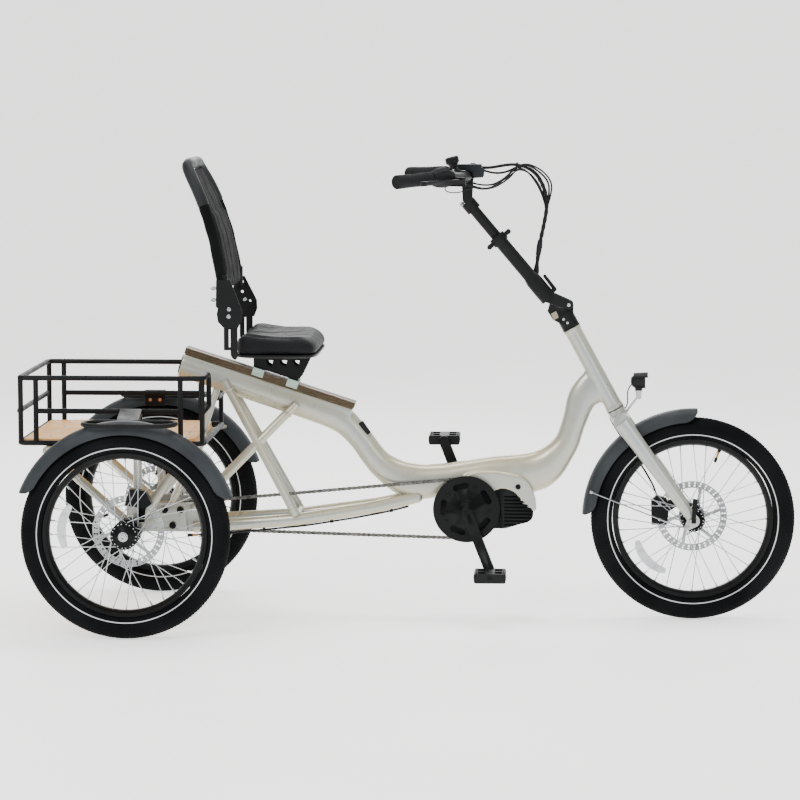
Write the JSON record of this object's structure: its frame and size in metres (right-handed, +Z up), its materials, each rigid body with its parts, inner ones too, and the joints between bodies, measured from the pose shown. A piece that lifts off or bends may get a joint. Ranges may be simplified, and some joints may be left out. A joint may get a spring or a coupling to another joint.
{
  "type": "adult tricycle",
  "caption": "Pedal-assist cargo tricycle with a swept low frame, sliding reclining seat, tilting handlebar post, mid motor and railed rear cargo deck.",
  "frame": {"origin": "middle of the vehicle's bounding box, on the ground", "axes": "+X forward, +Y to the rider's left, +Z up"},
  "size_m": [1.9574, 0.807, 1.1802],
  "materials": {
    "ivory_paint": "pearl gloss",
    "silver_ivory_paint": "pearl gloss",
    "bronze_rail": "anodised satin",
    "bamboo": "satin lacquer",
    "black_paint": "satin powder coat",
    "black_alloy": "black anodised",
    "grey_fender": "satin",
    "tyre_rubber": "matt",
    "spoke_steel": "bright",
    "chain_steel": "oiled",
    "motor_black": "satin",
    "black_plastic": "moulded",
    "grey_plastic": "moulded",
    "grip_rubber": "ribbed",
    "cable_black": "satin",
    "slider_silver": "satin",
    "seat_vinyl": "grained vinyl",
    "back_mesh": "woven mesh"
  },
  "bodies": {
    "frame": {"main_frame": "ivory_paint", "rear_frame": "ivory_paint", "axle_carrier": "ivory_paint", "seat_rail": "bronze_rail", "deck_board": "bamboo", "basket": "black_paint", "side_grips": "black_paint", "rear_fenders": "grey_fender", "motor_unit": "motor_black", "chain": "chain_steel", "rear_calipers": "black_alloy", "battery_pack": "black_plastic", "rear_brake_hose": "cable_black"},
    "steering": {"fork": "silver_ivory_paint", "front_fender": "grey_fender", "front_caliper": "black_alloy", "front_brake_hose": "cable_black", "stem_base": "black_paint", "light_bracket": "slider_silver"},
    "headlight": {"headlight": "black_plastic"},
    "axle_lever": {"qr_lever": "black_alloy"},
    "front_wheel": {"front_tyre": "tyre_rubber", "front_rim": "black_alloy", "front_spokes": "spoke_steel", "front_hub": "black_alloy", "front_rotor": "spoke_steel"},
    "rear_left_wheel": {"rear_left_tyre": "tyre_rubber", "rear_left_rim": "black_alloy", "rear_left_spokes": "spoke_steel", "rear_left_hub": "black_alloy", "rear_left_rotor": "spoke_steel"},
    "rear_right_wheel": {"rear_right_tyre": "tyre_rubber", "rear_right_rim": "black_alloy", "rear_right_spokes": "spoke_steel", "rear_right_hub": "black_alloy", "rear_right_rotor": "spoke_steel"},
    "handlepost": {"handlepost": "black_paint"},
    "tilt_lever": {"tilt_lever": "black_alloy"},
    "handlebar": {"stem": "black_paint", "handlebar": "black_paint", "grips": "grip_rubber", "control_pods": "black_plastic", "display": "grey_plastic", "cable_loom": "cable_black"},
    "throttle": {"throttle": "black_plastic"},
    "left_brake_lever": {"brake_lever_left": "black_alloy"},
    "right_brake_lever": {"brake_lever_right": "black_alloy"},
    "bell": {"bell": "black_plastic"},
    "display_button": {"display_button": "grey_plastic"},
    "crank": {"crankset": "black_paint", "chainring": "black_plastic"},
    "right_pedal": {"pedal_right": "black_plastic"},
    "left_pedal": {"pedal_left": "black_plastic"},
    "differential": {"rear_sprocket": "spoke_steel"},
    "seat": {"seat_bracket": "black_paint", "slider_blocks": "slider_silver", "seat_pan": "black_plastic", "seat_cushion": "seat_vinyl"},
    "backrest": {"back_frame": "black_paint", "back_pad": "back_mesh"}
  },
  "joints": [
    {"name": "steering", "type": "hinge", "parent": "frame", "child": "steering", "pos_m": [0.40678, 0, 0.7472], "axis": [-0.4787, 0, 0.878], "range_deg": [-40, 40]},
    {"name": "front_wheel_spin", "type": "hinge", "parent": "steering", "child": "front_wheel", "pos_m": [0.71875, 0, 0.26], "axis": [0, 1, 0], "continuous": true},
    {"name": "left_wheel_spin", "type": "hinge", "parent": "frame", "child": "rear_left_wheel", "pos_m": [-0.69025, 0.35, 0.26], "axis": [0, 1, 0], "continuous": true},
    {"name": "right_wheel_spin", "type": "hinge", "parent": "frame", "child": "rear_right_wheel", "pos_m": [-0.69025, -0.35, 0.26], "axis": [0, 1, 0], "continuous": true},
    {"name": "crank_spin", "type": "hinge", "parent": "frame", "child": "crank", "pos_m": [0.14225, 0, 0.287], "axis": [0, 1, 0], "continuous": true},
    {"name": "sprocket_spin", "type": "hinge", "parent": "frame", "child": "differential", "pos_m": [-0.69025, 0, 0.26], "axis": [0, 1, 0], "continuous": true},
    {"name": "right_pedal_spin", "type": "hinge", "parent": "crank", "child": "right_pedal", "pos_m": [0.20455, -0.14, 0.12883], "axis": [0, 1, 0], "continuous": true},
    {"name": "left_pedal_spin", "type": "hinge", "parent": "crank", "child": "left_pedal", "pos_m": [0.07995, 0.14, 0.44517], "axis": [0, 1, 0], "continuous": true},
    {"name": "axle_lever", "type": "hinge", "parent": "steering", "child": "axle_lever", "pos_m": [0.71875, -0.069, 0.26], "axis": [1, 0, 0], "range_deg": [0, 150]},
    {"name": "headlight_tilt", "type": "hinge", "parent": "steering", "child": "headlight", "pos_m": [0.57875, 0, 0.582], "axis": [0, 1, 0], "range_deg": [-20, 20]},
    {"name": "post_tilt", "type": "hinge", "parent": "steering", "child": "handlepost", "pos_m": [0.39975, 0, 0.806], "axis": [0, 1, 0], "range_deg": [0, 40]},
    {"name": "tilt_lock", "type": "hinge", "parent": "handlepost", "child": "tilt_lever", "pos_m": [0.36392, 0, 0.84506], "axis": [0, 1, 0], "range_deg": [0, 90]},
    {"name": "post_height", "type": "slide", "parent": "handlepost", "child": "handlebar", "axis": [-0.6455, 0, 0.7638], "range_m": [-0.06, 0.06]},
    {"name": "throttle_twist", "type": "hinge", "parent": "handlebar", "child": "throttle", "pos_m": [0.09575, -0.192, 1.135], "axis": [-0.6385, -0.7684, -0.0433], "range_deg": [0, 70], "stiffness_Nm_per_rad": 0.1},
    {"name": "right_brake_lever", "type": "hinge", "parent": "handlebar", "child": "right_brake_lever", "pos_m": [0.13451, -0.20556, 1.124], "axis": [0, 0, -1], "range_deg": [0, 10], "stiffness_Nm_per_rad": 2},
    {"name": "left_brake_lever", "type": "hinge", "parent": "handlebar", "child": "left_brake_lever", "pos_m": [0.13451, 0.20556, 1.124], "axis": [0, 0, 1], "range_deg": [0, 10], "stiffness_Nm_per_rad": 2},
    {"name": "bell_twist", "type": "hinge", "parent": "handlebar", "child": "bell", "pos_m": [0.11175, -0.066, 1.146], "axis": [-0.2588, 0, 0.9659], "range_deg": [-30, 30], "stiffness_Nm_per_rad": 0.02},
    {"name": "display_button", "type": "slide", "parent": "handlebar", "child": "display_button", "axis": [0, 0, -1], "range_m": [0, 0.0015], "stiffness_N_per_m": 400},
    {"name": "seat_slide", "type": "slide", "parent": "frame", "child": "seat", "axis": [0.9511, 0, -0.309], "range_m": [-0.15, 0.13]},
    {"name": "recline", "type": "hinge", "parent": "seat", "child": "backrest", "pos_m": [-0.43825, 0, 0.776], "axis": [0, 1, 0], "range_deg": [-15, 15]}
  ],
  "couplings": [
    {"joint": "sprocket_spin", "follows": "crank_spin", "ratio": 2.9231}
  ]
}
